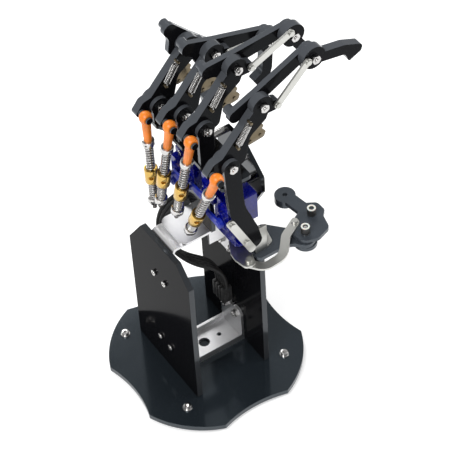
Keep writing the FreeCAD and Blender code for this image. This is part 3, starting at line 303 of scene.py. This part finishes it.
def black_sheet(name, edge=0.35 * mm, seam_places=(), rough=0.03, tint=(0.005, 0.005, 0.006), shine=0.5,
                face_axis=None, face_shine=0.03, edge_tone=(0.066, 0.071, 0.080)):
    """Polished black acrylic.

    seam_places are heights along Y where two glued layers meet. face_axis is the axis that the sheet's faces look
    along: they reflect by face_shine, and the cut edges between them have edge_tone and reflect by shine.
    """
    material, tree, shader, add = new_material(name)
    place = object_place(add)
    dust = noise(add, place, 2600, 2)
    specks = spread(add, dust, 0, 1, 0.66, 0.76)
    wiping = noise(add, object_place(add, (1, 1, 0.35)), 38, 5, 0.6)
    wiped, dusty = spread(add, wiping, rough, rough + 0.1), spread(add, specks, 0, 0.25)
    roughness = add("Math", {"operation": "ADD"}, i0=wiped, i1=dusty)
    tree.links.new(roughness.outputs[0], shader.inputs["Roughness"])
    shade = add("MixRGB", Fac=specks, Color1=(*tint, 1), Color2=(0.035, 0.035, 0.037, 1))
    colour = shade.outputs[0]
    if seam_places:
        height = add("SeparateXYZ", Vector=add("TexCoord").outputs["Object"]).outputs["Y"]
        nearest = None
        for seam in seam_places:
            apart = add("Math", {"operation": "SUBTRACT"}, i0=height, i1=seam).outputs[0]
            apart = add("Math", {"operation": "ABSOLUTE"}, i0=apart).outputs[0]
            if nearest is not None:
                apart = add("Math", {"operation": "MINIMUM"}, i0=nearest, i1=apart).outputs[0]
            nearest = apart
        line = spread(add, nearest, 1, 0, 0.0, 0.12 * mm)
        colour = add("MixRGB", Fac=line, Color1=colour, Color2=(0.12, 0.12, 0.125, 1)).outputs[0]
    if face_axis:
        flat = add("SeparateXYZ", Vector=add("TexCoord").outputs["Normal"]).outputs[face_axis]
        flat = spread(add, add("Math", {"operation": "ABSOLUTE"}, i0=flat).outputs[0], 0, 1, 0.5, 0.9)
        colour = add("MixRGB", Fac=flat, Color1=(*edge_tone, 1), Color2=colour).outputs[0]
        tree.links.new(spread(add, flat, shine, face_shine), shader.inputs["Specular IOR Level"])
    tree.links.new(colour, shader.inputs["Base Color"])
    bump = add("Bump", Strength=0.06, Distance=0.02 * mm, Height=wiping, Normal=soft_edge(add, edge))
    tree.links.new(bump.outputs[0], shader.inputs["Normal"])
    shader.inputs["IOR"].default_value = 1.49
    shader.inputs["Specular IOR Level"].default_value = shine
    shader.inputs["Specular Tint"].default_value = (0.78, 0.9, 1.0, 1)
    return material


black_acrylic = black_sheet("black_acrylic")
base_acrylic = black_sheet("base_acrylic", rough=0.06, tint=(0.012, 0.016, 0.020), shine=0.7)
finger_seams = [pivots[f"{name}_knuckle"].y for name in fingers.values()]
finger_acrylic = black_sheet("finger_acrylic", 0.3 * mm, finger_seams, 0.08, face_axis="Y", face_shine=0.06)
arm_acrylic = black_sheet("arm_acrylic", rough=0.08, face_axis="Y", face_shine=0.06)
upright_acrylic = black_sheet("upright_acrylic", rough=0.05, shine=0.35, face_axis="X", face_shine=0.015,
                              edge_tone=(0.03, 0.032, 0.035))
satin_acrylic = black_sheet("satin_acrylic", 0.4 * mm, rough=0.2, tint=(0.045, 0.052, 0.062))


# %% Finishes: metals
def metal(name, colour, rough, grain_scale=(1, 1, 1), grain=900, edge=0.15 * mm, depth=0.02 * mm, patch=0.06):
    """Bare metal with grain in its bump and slow patches in its roughness and shade."""
    material, tree, shader, add = new_material(name)
    shader.inputs["Metallic"].default_value = 1.0
    fine = noise(add, object_place(add, grain_scale), grain, 4, 0.6)
    slow = noise(add, object_place(add), 60, 3)
    rough_value = add("Math", {"operation": "ADD"}, i0=spread(add, fine, rough - patch, rough + patch),
                      i1=spread(add, slow, -patch, patch))
    tree.links.new(rough_value.outputs[0], shader.inputs["Roughness"])
    dark = tuple(value * 0.82 for value in colour)
    shade = add("MixRGB", Fac=slow, Color1=(*colour, 1), Color2=(*dark, 1))
    tree.links.new(shade.outputs[0], shader.inputs["Base Color"])
    bump = add("Bump", Strength=0.35, Distance=depth, Height=fine, Normal=soft_edge(add, edge))
    tree.links.new(bump.outputs[0], shader.inputs["Normal"])
    return material


blasted_aluminium = metal("blasted_aluminium", (0.82, 0.82, 0.83), 0.42, grain=2600, depth=0.03 * mm)
link_steel = metal("link_steel", (0.60, 0.60, 0.57), 0.34, (1, 1, 6), 700, depth=0.004 * mm, patch=0.03)
bright_steel = metal("bright_steel", (0.62, 0.61, 0.60), 0.19, grain=1500)
# painted shade: the threaded rods' steel is painted dark to stand for the shade between the spring coils
painted_shade_rod_steel = metal("painted_shade_rod_steel", (0.20, 0.19, 0.18), 0.32, grain=1200)
brown_steel = metal("brown_steel", (0.16, 0.13, 0.085), 0.3, (1, 1, 3), 900)
turned_brass = metal("turned_brass", (0.66, 0.43, 0.12), 0.24, (1, 1, 5), 1200)


# %% Finishes: plastics
def moulded(name, colour, rough=0.42, deep=0.75, scatter=0.0, edge=0.25 * mm):
    """Moulded plastic with a faint skin texture and slightly darker patches."""
    material, tree, shader, add = new_material(name)
    skin = noise(add, object_place(add), 1500, 3)
    slow = noise(add, object_place(add), 110, 2)
    dark = tuple(value * deep for value in colour)
    shade = add("MixRGB", Fac=spread(add, slow, 0, 1, 0.35, 0.7), Color1=(*colour, 1), Color2=(*dark, 1))
    tree.links.new(shade.outputs[0], shader.inputs["Base Color"])
    tree.links.new(spread(add, skin, rough - 0.06, rough + 0.08), shader.inputs["Roughness"])
    bump = add("Bump", Strength=0.25, Distance=0.03 * mm, Height=skin, Normal=soft_edge(add, edge))
    tree.links.new(bump.outputs[0], shader.inputs["Normal"])
    shader.inputs["Subsurface Weight"].default_value = scatter
    shader.inputs["Subsurface Radius"].default_value = (0.6, 0.3, 0.2)
    shader.inputs["Subsurface Scale"].default_value = 1.5 * mm
    return material


orange_nylon = moulded("orange_nylon", (1.0, 0.27, 0.02), 0.36, 0.8, 0.25)
white_nylon = moulded("white_nylon", (0.80, 0.79, 0.74), 0.4, 0.9, 0.3)
black_moulding = moulded("black_moulding", (0.02, 0.02, 0.02), 0.5)
foot_rubber = moulded("foot_rubber", (0.025, 0.025, 0.025), 0.7)
horn_blue = moulded("horn_blue", (0.012, 0.03, 0.42), 0.3, 0.8, 0.1)


def blue_case():
    """The servo's case: clear blue plastic, deep in colour, darkened in random patches of painted shade."""
    material, tree, shader, add = new_material("blue_case")
    slow = noise(add, object_place(add), 150, 3)
    # painted shade: random noise darkens the blue in patches
    shade = add("MixRGB", Fac=slow, Color1=(0.003, 0.010, 0.50, 1), Color2=(0.001, 0.002, 0.14, 1))
    tree.links.new(shade.outputs[0], shader.inputs["Base Color"])
    tree.links.new(spread(add, noise(add, object_place(add), 900, 3), 0.05, 0.16), shader.inputs["Roughness"])
    shader.inputs["Transmission Weight"].default_value = 0.55
    shader.inputs["IOR"].default_value = 1.5
    tree.links.new(soft_edge(add, 0.4 * mm), shader.inputs["Normal"])
    return material


servo_blue = blue_case()


def braided(name, tone):
    """A black braided sleeve: two crossing sets of fine ribs along the lead. tone shades the ribs."""
    material, tree, shader, add = new_material(name)
    source = add("TexCoord").outputs["Object"]
    ribs = []
    for lean in (0.7, -0.7):
        place = add("Mapping", Vector=source, Rotation=(lean, lean * 0.6, 0)).outputs[0]
        wave = add("TexWave", {"bands_direction": "Z"}, Vector=place, Scale=320, Distortion=1.2)
        ribs.append(wave.outputs["Fac"])
    weave = add("Math", {"operation": "MULTIPLY"}, i0=ribs[0], i1=ribs[1]).outputs[0]
    shade = add("MixRGB", Fac=weave, Color1=(0.006, 0.006, 0.006, 1), Color2=(tone, tone, tone, 1))
    tree.links.new(shade.outputs[0], shader.inputs["Base Color"])
    shader.inputs["Roughness"].default_value = 0.62
    bump = add("Bump", Strength=0.5, Distance=0.15 * mm, Height=weave)
    tree.links.new(bump.outputs[0], shader.inputs["Normal"])
    return material


lead_sleeves = [braided(f"ribbed_sleeve_{place}", tone)
                for place, tone in enumerate((0.03, 0.045, 0.035, 0.05), start=1)]
print("finishes", len(bpy.data.materials))

# %% [markdown]
# The frame's own plates and brackets already have their true shapes, so they only get a finish. Pieces with finer
# detail follow in their own cells and stand for the remaining nodes.


# %% Finishes go on the frame's own nodes
finish_of = {
    "base_plate": base_acrylic, "upright_left": upright_acrylic, "upright_right": upright_acrylic,
    "servo_panel": black_acrylic, "palm_deck": black_acrylic, "knuckle_cheeks": arm_acrylic,
    "side_arm": arm_acrylic, "palm_cover": black_acrylic, "thumb_base": satin_acrylic, "thumb_tip": satin_acrylic,
    "wrist_bracket": blasted_aluminium, "cross_bracket": blasted_aluminium, "mount_plate": blasted_aluminium,
    "knuckle_bolts": bright_steel, "thumb_bracket": link_steel,
    "thumb_link": link_steel, "thumb_crank": link_steel, "cover_spacers": bright_steel, "base_feet": foot_rubber,
    "finger_servos": servo_blue, "thumb_servo": servo_blue,
}
for number in fingers:
    finish_of[f"proximal_{number}"] = finger_acrylic
    finish_of[f"middle_{number}"] = finger_acrylic
    finish_of[f"distal_{number}"] = finger_acrylic
    finish_of[f"tip_link_{number}"] = link_steel
    finish_of[f"ball_link_{number}"] = orange_nylon
    finish_of[f"servo_horn_{number}"] = horn_blue
for name, material in finish_of.items():
    mesh = nodes[name].data
    mesh.materials.clear()
    mesh.materials.append(material)
print("finished nodes", len(finish_of), "of", len(nodes))

# %% [markdown]
# Four sleeved servo leads leave the palm, arch over the back edge of the mounting plate and hang inside the
# stand. A lead is soft, so each is one smooth NURBS line through the points of its route, given a round section.
# Each ends in a flat black plug, which is modelled once and copied.

# %% The servo leads and their plugs
lead_radius = 1.7 * mm
lead_pitch = 3.5
lead_exit_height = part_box("lead_harness")[1].z / mm
lead_route = [(14, 12, lead_exit_height), (14, 12, 150), (4, 23, 136), (-8, 23, 131), (-13, 22.5, 118),
              (-12, 20, 104), (-2, 10, 91), (12, 2, 84), (18, 0, 72), (18, 0, 62)]


def nurbs_line(name, points, radius):
    """A curve of one open NURBS spline with a round section."""
    data = bpy.data.curves.new(name, "CURVE")
    data.dimensions = "3D"
    data.bevel_depth = radius
    data.bevel_resolution = 5
    data.resolution_u = 8
    spline = data.splines.new("NURBS")
    spline.points.add(len(points) - 1)
    for point, place in zip(spline.points, points):
        point.co = (*place, 1)
    spline.order_u = 3
    spline.use_endpoint_u = True
    obj = bpy.data.objects.new(name, data)
    scene.collection.objects.link(obj)
    return obj


def line_length(points):
    """The length of the smooth line, measured on a copy with no section."""
    probe = nurbs_line("probe", points, 0)
    bpy.context.view_layer.update()
    mesh = bpy.data.meshes.new_from_object(probe)
    points_of = mesh.vertices
    total = sum((points_of[a].co - points_of[b].co).length for a, b in (edge.vertices for edge in mesh.edges))
    bpy.data.meshes.remove(mesh)
    bpy.data.objects.remove(probe)
    return total


def servo_plug(width=7.6 * mm, thickness=2.6 * mm, height=14 * mm, window=1.2 * mm, window_pitch=2.4 * mm):
    """A three-way plug that hangs below the origin: a flat body with three contact windows and soft edges."""
    nothing_selected()
    bpy.ops.mesh.primitive_cube_add(size=1, location=(0, 0, -height / 2), scale=(width, thickness, height))
    plug = at_rest(bpy.context.active_object)
    for place in (-1, 0, 1):
        nothing_selected()
        middle = (place * window_pitch, -thickness / 2, -height * 0.45)
        bpy.ops.mesh.primitive_cube_add(size=1, location=middle, scale=(window, 0.8 * mm, height * 0.3))
        cut(plug, at_rest(bpy.context.active_object))
    return apply(plug, "BEVEL", width=0.25 * mm, segments=2, limit_method="ANGLE")


plug_master = servo_plug()
for place in range(4):
    shift = (place - 1.5) * lead_pitch
    points = [Vector((x, y + shift, z)) * mm for x, y, z in lead_route]
    lead = nurbs_line(f"servo_lead_{place + 1}", points, lead_radius)
    length = line_length(points)
    lead.data.materials.append(lead_sleeves[place])
    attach(lead, "frame")
    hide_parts("lead_harness")
    plug = copied(plug_master, Matrix.Translation(points[-1]), f"lead_plug_{place + 1}")
    finished(plug, f"lead_plug_{place + 1}", "frame", black_moulding, "plug_plastic", "lead_connectors")
    print("lead", place + 1, "is", round(length, 3), "m")
bpy.data.objects.remove(plug_master)

# %% [markdown]
# A spring is a round wire on a screw path. The Screw modifier turns a small circle about Z and lifts it by one
# pitch each turn. The same helper, with a four-sided wire, winds the thread of a rod.


# %% Coil springs, threads and collars
def coil(radius, wire, start, length, turns, sides=10, steps=18):
    """A coil along Z from start, made from a small circle by the Screw modifier."""
    nothing_selected()
    bpy.ops.mesh.primitive_circle_add(vertices=sides, radius=wire, location=(radius, 0, start + wire),
                                      rotation=(pi / 2, 0, 0))
    spring = at_rest(bpy.context.active_object)
    pitch = (length - 2 * wire) / turns
    apply(spring, "SCREW", axis="Z", angle=2 * pi, screw_offset=pitch, iterations=int(turns), steps=steps,
          render_steps=steps, use_normal_calculate=True)
    bpy.ops.object.mode_set(mode="EDIT")
    bpy.ops.mesh.select_mode(type="VERT")
    bpy.ops.mesh.select_all(action="DESELECT")
    bpy.ops.mesh.select_non_manifold()
    bpy.ops.mesh.edge_face_add()
    bpy.ops.mesh.select_all(action="SELECT")
    bpy.ops.mesh.normals_make_consistent(inside=False)
    bpy.ops.object.mode_set(mode="OBJECT")
    return spring


def threaded_bar(radius, length, pitch=0.7 * mm, ridge=0.2 * mm):
    """A bar along Z with chamfered ends and a thread wound round it."""
    thread = coil(radius - ridge, ridge, 0, length, int(length / pitch), 4, 14)
    core = cylinder(radius - ridge, length, sides=16)
    apply(core, "BEVEL", width=0.2 * mm, segments=2, limit_method="ANGLE")
    return joined(core, thread)


def collar(radius, bore, length, start, set_screw_radius=0.8 * mm):
    """A clamp ring with chamfered rims and two holes for set screws in its side."""
    ring = cylinder(radius, length, (0, 0, start))
    cut(ring, cylinder(bore, 2 * length, (0, 0, start - length / 2)))
    apply(ring, "BEVEL", width=0.35 * mm, segments=2, limit_method="ANGLE")
    for way in ((0.4, -0.9, 0), (-0.9, -0.4, 0)):
        hole = cylinder(set_screw_radius, 2 * radius, sides=6)
        hole.data.transform(facing((0, 0, start + length / 2), way))
        cut(ring, hole)
    return ring


# %% [markdown]
# Each push rod is one threaded bar with two collars. Two springs press on the brass block between the collars, so
# the finger gives way softly when it meets something.

# %% The push rods and their springs
rod_radius, rod_start, rod_length = 1.5 * mm, 8.5 * mm, 77.5 * mm
collar_radius, collar_length = 4.3 * mm, 4.5 * mm
high_collar, low_collar = 20.5 * mm, 75 * mm
spring_outer, spring_wire, upper_turns, lower_turns = 3.2 * mm, 0.5 * mm, 9, 8
block_length = 12 * mm
block_distance = {}
rod_matrix = {}
for number, finger in fingers.items():
    ball = pivots[f"{finger}_ball_joint"]
    low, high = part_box(f"brass_block_{number}")
    block = (low + high) / 2
    block_distance[number] = (block - ball).length
    rod_matrix[number] = facing(ball, block - ball)
    bar = threaded_bar(rod_radius, rod_length)
    bar.data.transform(Matrix.Translation((0, 0, rod_start)))
    rings = [collar(collar_radius, rod_radius, collar_length, start)
             for start in (high_collar, low_collar)]
    bar.data.transform(rod_matrix[number])
    stands_for = f"push_rod_{number}"
    # painted shade: the rod takes the dark steel that is painted for the shade between the coils
    finished(bar, f"threaded_rod_{number}", f"{finger}_rod", painted_shade_rod_steel, "bright_steel", stands_for)
    pair = joined(*rings)
    pair.data.transform(rod_matrix[number])
    finished(pair, f"rod_collars_{number}", f"{finger}_rod", bright_steel, "bright_steel", stands_for)
    middle = block_distance[number]
    upper_span = ("upper", high_collar + collar_length, middle - block_length / 2, upper_turns)
    lower_span = ("lower", middle + block_length / 2, low_collar, lower_turns)
    for label, start, end, turns in (upper_span, lower_span):
        spring = coil(spring_outer - spring_wire, spring_wire, start, end - start, turns)
        spring.data.transform(rod_matrix[number])
        finished(spring, f"{label}_spring_{number}", f"{finger}_rod", bright_steel, "bright_steel", stands_for)
print("block distances", {number: round(value / mm, 1) for number, value in block_distance.items()})

# %% [markdown]
# The brass block is turned on a lathe and has a cross hole for the horn's pin. It starts as a cylinder, its ends
# are stepped, the holes are cut, and a narrow bevel softens every edge.


# %% The brass blocks
block_radius, block_bore = 4.65 * mm, 1.62 * mm
# each hole's way, its start off the axis, its depth and its radius: the pin's socket, then the small hole
block_holes = ((Vector((1, 0, 0)), 1.65 * mm, 4 * mm, 3.0 * mm),
               (Vector((-0.55, -0.83, 0)), 2.9 * mm, 3 * mm, 1.7 * mm))


def brass_block(radius, length):
    """A turned block along Z, centred on the origin, with end steps and a bore."""
    block = cylinder(radius, length, (0, 0, -length / 2), 48)
    only(block)
    bpy.ops.object.mode_set(mode="EDIT")
    bpy.ops.mesh.select_mode(type="FACE")
    bpy.ops.mesh.select_all(action="DESELECT")
    work = bmesh.from_edit_mesh(block.data)
    for face in work.faces:
        face.select = abs(face.normal.z) > 0.9
    bmesh.update_edit_mesh(block.data)
    bpy.ops.mesh.inset(thickness=1.5 * mm)
    bpy.ops.mesh.extrude_region_shrink_fatten(TRANSFORM_OT_shrink_fatten={"value": -0.35 * mm})
    bpy.ops.object.mode_set(mode="OBJECT")
    return cut(block, cylinder(block_bore, 2 * length, (0, 0, -length), 24))


for number, finger in fingers.items():
    block = brass_block(block_radius, block_length)
    place = rod_matrix[number] @ Matrix.Translation((0, 0, block_distance[number]))
    turned_back = place.to_3x3().inverted()
    for way, start, depth, bore in block_holes:
        way = turned_back @ way
        hole = cylinder(bore, depth, sides=24)
        hole.data.transform(facing(way * start, way))
        cut(block, hole)
    apply(block, "BEVEL", width=0.22 * mm, segments=2, limit_method="ANGLE", angle_limit=radians(40))
    block.data.transform(place)
    finished(block, f"block_{number}", f"{finger}_rod", turned_brass, "brass", f"brass_block_{number}")
print("brass blocks", len(fingers))

# %% [markdown]
# Hex nuts and screw heads repeat all over the hand. Each is modelled once, with its chamfers and recess, and
# then copied to every place with its own mesh.


# %% One nut and the screw heads
def hex_nut(corner_radius=3.3 * mm, height=2.45 * mm):
    """A hexagon nut on Z with chamfered corners and the screw's end standing a little out of it."""
    nut = cylinder(corner_radius, height, sides=6)
    cone = cylinder(corner_radius * 0.98, height, sides=32)
    apply(cone, "BEVEL", width=0.35 * mm, segments=2, limit_method="ANGLE")
    apply(nut, "BOOLEAN", operation="INTERSECT", object=cone, solver="EXACT")
    bpy.data.objects.remove(cone)
    end = cylinder(1.45 * mm, height + 1.1 * mm, sides=20)
    apply(end, "BEVEL", width=0.35 * mm, segments=2, limit_method="ANGLE")
    return joined(nut, end)


def cap_screw(radius, height, recess=0.5, washer=0.0):
    """A socket screw's head on Z with its hexagon recess. washer is the radius of a washer under it."""
    head = cylinder(radius, height, sides=32)
    apply(head, "BEVEL", width=min(0.35 * mm, height * 0.25), segments=3, limit_method="ANGLE")
    cut(head, cylinder(radius * recess, height, (0, 0, height * 0.45), 6))
    if washer:
        ring = cylinder(washer, 0.5 * mm, sides=40)
        apply(ring, "BEVEL", width=0.12 * mm, segments=1, limit_method="ANGLE")
        head = joined(head, ring)
    return head


nut = hex_nut()
button = cap_screw(2.85 * mm, 2.05 * mm, 0.45)
tall_screw = cap_screw(2.6 * mm, 2.6 * mm, 0.5, 3.3 * mm)
small_button = cap_screw(2.2 * mm, 1.7 * mm, 0.5)
rivet = cap_screw(2.3 * mm, 1.1 * mm, 0.3)
masters = [nut, button, small_button, tall_screw, rivet]
print("nut faces", len(nut.data.polygons), "screw faces", len(tall_screw.data.polygons))

# %% [markdown]
# The stand is held by four screws through the base and eight through the uprights, with nuts inside. The knuckle
# and finger pivots end in the same nuts on the near side.

# %% Screws and nuts in their places
# places and seats on this cell's pieces are plain millimetres
base_top, base_screw_offset = 8, 40.7
upright_face, nut_face, stand_hole_half_pitch = 30, 23.9, 6.35
stand_hole_heights = (32.4, 99.5)
left_way, near_way, up_axis = Vector((-1, 0, 0)), Vector((0, -1, 0)), Vector((0, 0, 1))


def placed(master, place, way, turn=0.0):
    """A copy of a master, seated at a place in millimetres and looking along way."""
    return copied(master, facing(Vector(place) * mm, way) @ Matrix.Rotation(turn, 4, "Z"), "copy")


heads = [placed(tall_screw, (x, y, base_top), up_axis, x * y)
         for x in (-base_screw_offset, base_screw_offset) for y in (-base_screw_offset, base_screw_offset)]
for side in (-1, 1):
    for y in (-stand_hole_half_pitch, stand_hole_half_pitch):
        for z in stand_hole_heights:
            heads.append(placed(small_button, (side * upright_face, y, z), left_way * -side, y + z))
            heads.append(placed(nut, (side * nut_face, y, z), left_way * side, z * 0.3))
stand = joined(*heads)
finished(stand, "stand_fasteners", "frame", bright_steel, "bright_steel", "stand_screws")

nut_seat, knuckle_seat = 3.3, 6.4
heads = []
for number, finger in fingers.items():
    knuckle = pivots[f"{finger}_knuckle"] / mm
    heads.append(placed(nut, knuckle + near_way * knuckle_seat, near_way, number))
    heads.append(placed(button, knuckle - near_way * knuckle_seat, -near_way, number * 2))
    pair = [placed(nut, pivots[f"{finger}_{joint}_joint"] / mm + near_way * nut_seat, near_way, turn + number)
            for joint, turn in (("middle", 0.2), ("distal", 0.6))]
    finished(joined(*pair), f"finger_nuts_{number}", f"{finger}_middle", bright_steel, "bright_steel")
knuckle_fasteners = joined(*heads)
finished(knuckle_fasteners, "knuckle_fasteners", "frame", bright_steel, "bright_steel")
print("nuts and screws placed")

# %% [markdown]
# Each first finger plate carries a riveted steel side plate. A small return spring is stretched between two
# posts on its near face. The frame keeps that spring as a plain sleeve, so the sleeve is taken out of a copy of the
# node and a coil with two end eyes is put in.

# %% Side plates and return springs
spring_start, spring_way, spring_length = (16.5, -5.25, 4.6), Vector((1, 0, 0.08)).normalized(), 15 * mm
return_radius, return_wire, return_turns = 1.85 * mm, 0.36 * mm, 15
eye_radius, eye_offset = 1.35 * mm, 1.1 * mm
proximal_angle = radians(52.5)


def middle_of(obj):
    """The middle of an object's box."""
    corners = [obj.matrix_world @ Vector(corner) for corner in obj.bound_box]
    return sum(corners, Vector()) / 8


for number, finger in fingers.items():
    knuckle = pivots[f"{finger}_knuckle"]
    frame_turn = Matrix.Translation(knuckle) @ Matrix.Rotation(-proximal_angle, 4, "Y")
    coil_place = frame_turn @ Matrix.Translation(Vector(spring_start) * mm)
    spring = coil(return_radius, return_wire, 0, spring_length, return_turns)
    for end, way in ((0, -1), (spring_length, 1)):
        nothing_selected()
        bpy.ops.mesh.primitive_torus_add(major_segments=24, minor_segments=8, major_radius=eye_radius,
                                         minor_radius=return_wire, rotation=(pi / 2, 0, 0),
                                         location=(0, 0, end + way * eye_offset))
        spring = joined(spring, at_rest(bpy.context.active_object))
    spring.data.transform(coil_place @ facing((0, 0, 0), spring_way))
    plate = nodes[f"side_plate_{number}"].copy()
    plate.data = plate.data.copy()
    scene.collection.objects.link(plate)
    at_rest(plate)
    bpy.ops.object.mode_set(mode="EDIT")
    bpy.ops.mesh.select_all(action="SELECT")
    bpy.ops.mesh.remove_doubles(threshold=0.01 * mm)
    bpy.ops.object.mode_set(mode="OBJECT")
    bpy.ops.mesh.separate(type="LOOSE")
    parts = [obj for obj in scene.objects if obj.select_get()]
    axis_middle = coil_place @ (spring_way * spring_length / 2)
    sleeve = min(parts, key=lambda obj: (middle_of(obj) - axis_middle).length)
    parts.remove(sleeve)
    bpy.data.objects.remove(sleeve)
    plate = joined(*parts)
    apply(plate, "BEVEL", width=0.12 * mm, segments=2, limit_method="ANGLE", angle_limit=radians(40))
    finished(plate, f"steel_plate_{number}", f"{finger}_proximal", brown_steel, "brown_steel",
             f"side_plate_{number}")
    finished(spring, f"return_spring_{number}", f"{finger}_proximal", bright_steel, "bright_steel",
             f"side_plate_{number}")
print("return springs", len(fingers))

# %% [markdown]
# The thumb turns on black posts with a white ring and a dark hexagon socket on top. The servos are held by silver
# screws through their tabs.

# %% Thumb posts and servo screws
post_radius, post_height, post_rise = 3.1 * mm, 5.6 * mm, 0.3 * mm
ring_outer, ring_inner, ring_height, ring_rise = 2.95 * mm, 1.75 * mm, 0.5 * mm, 0.2 * mm
post_tops = {"thumb_tip": Vector((63.9, -44.6, 147.0)) * mm, "frame": Vector((51.0, -55.9, 147.3)) * mm}
for body, top in post_tops.items():
    cap = cap_screw(post_radius, post_height, 0.45)
    cap.data.transform(Matrix.Translation(top + Vector((0, 0, post_rise - post_height))))
    finished(cap, f"{body}_post", body, black_moulding, "black_acrylic")
    ring = cylinder(ring_outer, ring_height, sides=48)
    cut(ring, cylinder(ring_inner, 2 * mm, (0, 0, -1 * mm), 40))
    apply(ring, "BEVEL", width=0.18 * mm, segments=2, limit_method="ANGLE")
    ring.data.transform(Matrix.Translation(top + Vector((0, 0, ring_rise))))
    finished(ring, f"{body}_post_ring", body, white_nylon, "horn_plastic")

# heights of the two tab screws above the shaft, and the tabs' face, in millimetres
shaft_to_tabs = (-7.6, 20.0)
tab_face = 0.85
servo_heads = []
for finger in fingers.values():
    shaft = pivots[f"{finger}_servo_shaft"] / mm
    for along in shaft_to_tabs:
        servo_heads.append(placed(rivet, (tab_face, shaft.y, shaft.z + along), left_way, along))
finished(joined(*servo_heads), "servo_screws", "frame", bright_steel, "bright_steel")
for master in masters:
    bpy.data.objects.remove(master)
print("thumb posts and servo screws placed")
